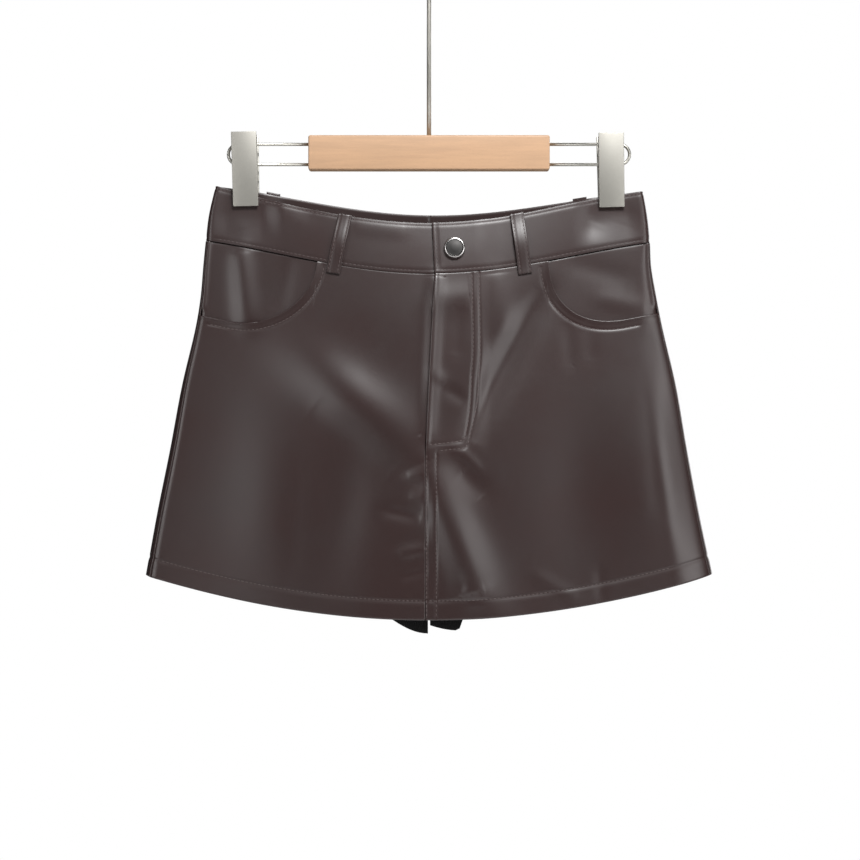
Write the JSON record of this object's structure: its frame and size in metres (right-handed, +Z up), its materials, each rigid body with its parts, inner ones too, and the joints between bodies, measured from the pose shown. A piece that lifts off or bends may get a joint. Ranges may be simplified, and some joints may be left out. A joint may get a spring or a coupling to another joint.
{
  "type": "leather mini skirt with inner shorts on a clip hanger",
  "caption": "A-line mini skirt in faux leather with scoop pockets, fly, belt loops and inner shorts, clipped by its waistband to a wooden trouser hanger.",
  "frame": {"origin": "the inner top of the hook, where a rail carries it", "axes": "+Z up along the hook's stem, the front of the skirt faces -Y, and +X is the viewer's right"},
  "size_m": [0.4583, 0.0566, 0.5743],
  "materials": {
    "leather": "satin",
    "jersey": "matte",
    "zip": "matte",
    "button_metal": "polished",
    "nickel": "satin",
    "wood": "satin"
  },
  "bodies": {
    "root": {"waistband_left": "leather", "waistband_right": "leather", "front_left": "leather", "front_right": "leather", "pocket_facing_left": "leather", "pocket_facing_right": "leather", "back_left": "leather", "back_right": "leather", "shorts_left": "jersey", "shorts_right": "jersey", "belt_loop_front_left": "leather", "belt_loop_front_right": "leather", "belt_loop_back_left": "leather", "belt_loop_back_right": "leather", "fly_zip": "zip", "fly_shield": "leather", "button": "button_metal", "hanger_hook": "nickel", "hanger_bar": "wood", "wire_left": "nickel", "wire_right": "nickel", "clip_left_front": "nickel", "clip_left_back": "nickel", "clip_right_front": "nickel", "clip_right_back": "nickel"}
  },
  "joints": []
}
